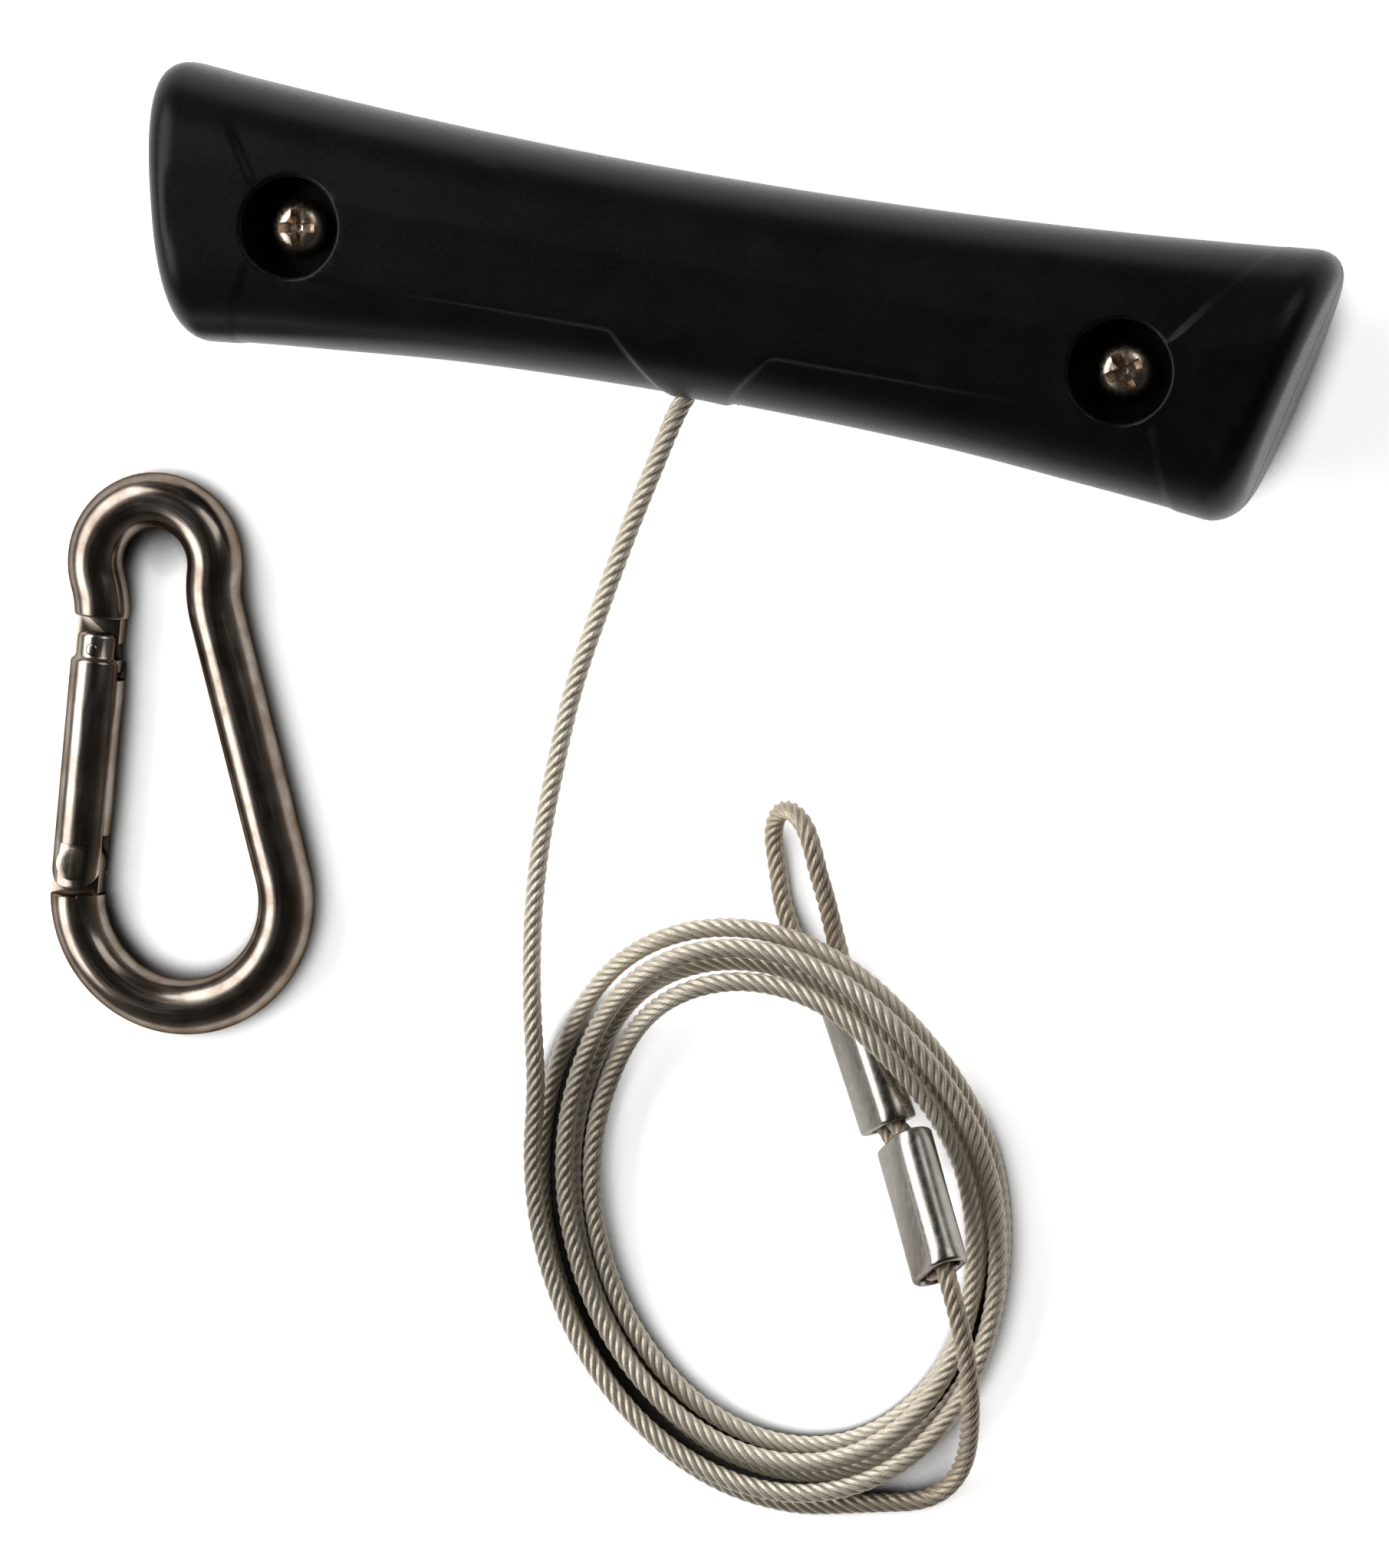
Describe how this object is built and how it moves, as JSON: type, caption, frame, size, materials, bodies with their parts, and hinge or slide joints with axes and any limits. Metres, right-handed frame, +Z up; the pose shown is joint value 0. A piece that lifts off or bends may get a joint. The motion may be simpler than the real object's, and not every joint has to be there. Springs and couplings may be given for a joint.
{
  "type": "pull handle with wire rope tether and snap hook",
  "caption": "Hollow moulded pull grip with a waisted profile, a thin wire rope tether laid in a loose coil up to a crimped end eye, and a spring-gate snap hook lying beside it.",
  "frame": {"origin": "on the surface the part lies on, under the middle of the grip where the rope leaves it", "axes": "+X along the grip, +Y from the finger side to the palm side of the grip, +Z up, from the rear shell to the front shell with the screw wells"},
  "size_m": [0.1521, 0.1643, 0.026],
  "materials": {
    "grip_plastic": "black satin moulded plastic with a fine grain",
    "screw_steel": "bright plated steel",
    "rope_steel": "stranded galvanised wire rope",
    "ferrule_aluminium": "smooth pressed aluminium",
    "hook_plate": "polished plated steel"
  },
  "bodies": {
    "handle": {"front_grip_shell": "grip_plastic", "rear_grip_shell": "grip_plastic", "left_screw": "screw_steel", "right_screw": "screw_steel", "stop_sleeve": "ferrule_aluminium", "stop_washer": "screw_steel", "rope_anchor": "rope_steel", "rope_lead": "rope_steel", "rope_coil": "rope_steel", "rope_tail": "rope_steel", "rope_eye": "rope_steel", "lower_ferrule": "ferrule_aluminium", "upper_ferrule": "ferrule_aluminium"},
    "snap_hook": {"hook_body": "hook_plate", "gate_rivet": "hook_plate"},
    "gate": {"hook_gate": "hook_plate", "latch_pin": "hook_plate", "gate_spring": "screw_steel"},
    "plunger": {"spring_plunger": "screw_steel"}
  },
  "joints": [
    {"name": "hook_lift", "type": "slide", "parent": "handle", "child": "snap_hook", "axis": [0, 0, 1], "range_m": [0, 0.06]},
    {"name": "gate_swing", "type": "hinge", "parent": "snap_hook", "child": "gate", "pos_m": [-0.07256, -0.08403, 0.0035], "axis": [0, 0, -1], "range_deg": [0, 20], "stiffness_Nm_per_rad": 0.15, "springref_deg": -40.11},
    {"name": "plunger_push", "type": "slide", "parent": "gate", "child": "plunger", "axis": [-0.0576, 0.9983, 0], "range_m": [0, 0.00075], "deforming": ["gate_spring"]}
  ],
  "couplings": [
    {"joint": "plunger_push", "follows": "gate_swing", "m_per_rad": 0.002}
  ]
}
